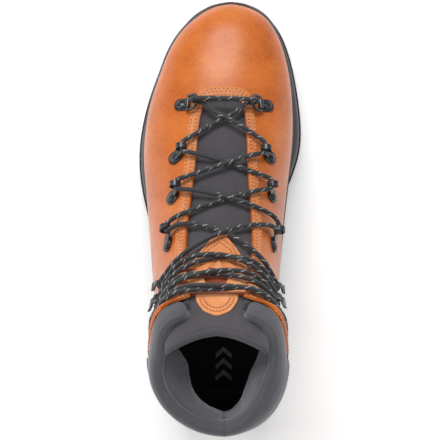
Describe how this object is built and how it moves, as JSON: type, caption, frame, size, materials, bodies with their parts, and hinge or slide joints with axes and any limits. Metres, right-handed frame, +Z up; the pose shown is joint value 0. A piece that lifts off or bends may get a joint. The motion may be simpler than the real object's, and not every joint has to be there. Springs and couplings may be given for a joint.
{
  "type": "mountaineering boot",
  "caption": "Left leather mountaineering boot, laced: welted lug sole, padded collar and tongue, D-rings, riveted lace loops and open hooks holding a round lace.",
  "frame": {"origin": "centre of the footprint's bounding box, on the floor", "axes": "+X towards the boot's medial side, +Y towards the toe, +Z up"},
  "size_m": [0.1166, 0.308, 0.1832],
  "materials": {
    "leather_upper": "waxed full-grain cognac leather, semi-gloss, fine grain",
    "flex_red": "rust-red pleated leather",
    "nubuck_grey": "matt padded microfibre",
    "textile_grey": "ribbed textile",
    "lining_dark": "matt knitted lining",
    "board": "fibre board",
    "footbed": "matt black footbed cover",
    "outsole_rubber": "matt black rubber",
    "midsole_foam": "satin grey microporous rubber",
    "steel_black": "black satin coated steel",
    "lace_cord": "round braided polyester lace with pale flecks",
    "tip_plastic": "black moulded lace tip",
    "shank_plastic": "glass-filled nylon"
  },
  "bodies": {
    "boot": {"clip_rivets": "steel_black", "collar_pad_lateral": "nubuck_grey", "collar_pad_medial": "nubuck_grey", "footbed": "footbed", "heel_counter_leather": "leather_upper", "heel_stiffener": "board", "heel_textile_panel": "textile_grey", "hook_rivets_lateral": "steel_black", "hook_rivets_medial": "steel_black", "lace": "lace_cord", "lace_hook_lateral_1": "steel_black", "lace_hook_lateral_2": "steel_black", "lace_hook_lateral_3": "steel_black", "lace_hook_medial_1": "steel_black", "lace_hook_medial_2": "steel_black", "lace_hook_medial_3": "steel_black", "lace_loop_lateral_1": "steel_black", "lace_loop_lateral_2": "steel_black", "lace_loop_lateral_3": "steel_black", "lace_loop_medial_1": "steel_black", "lace_loop_medial_2": "steel_black", "lace_loop_medial_3": "steel_black", "lace_tips": "tip_plastic", "lasting_board": "board", "lining_heel": "lining_dark", "lining_lateral": "lining_dark", "lining_medial": "lining_dark", "loop_rivets_lateral": "steel_black", "loop_rivets_medial": "steel_black", "midsole": "midsole_foam", "outsole": "outsole_rubber", "quarter_lateral": "leather_upper", "quarter_medial": "leather_upper", "ring_clip_lateral": "steel_black", "ring_clip_medial": "steel_black", "rubber_rand": "outsole_rubber", "shank": "shank_plastic", "throat_band_front": "leather_upper", "throat_band_lateral": "leather_upper", "throat_band_medial": "leather_upper", "toe_puff": "board", "tongue_flex_panel": "flex_red", "tongue_pad": "nubuck_grey", "tongue_shield": "leather_upper", "tongue_top_patch": "leather_upper", "vamp": "leather_upper", "vamp_lining": "lining_dark"},
    "ring_medial": {"d_ring_medial": "steel_black"},
    "ring_lateral": {"d_ring_lateral": "steel_black"}
  },
  "joints": [
    {"name": "d_ring_medial_swing", "type": "hinge", "parent": "boot", "child": "ring_medial", "pos_m": [0.02814, 0.07705, 0.08203], "axis": [0.078, -0.9596, 0.2703], "range_deg": [-2.5, 2.5]},
    {"name": "d_ring_lateral_swing", "type": "hinge", "parent": "boot", "child": "ring_lateral", "pos_m": [-0.02223, 0.07767, 0.08246], "axis": [0.081, 0.9417, -0.3267], "range_deg": [-2.5, 2.5]}
  ]
}
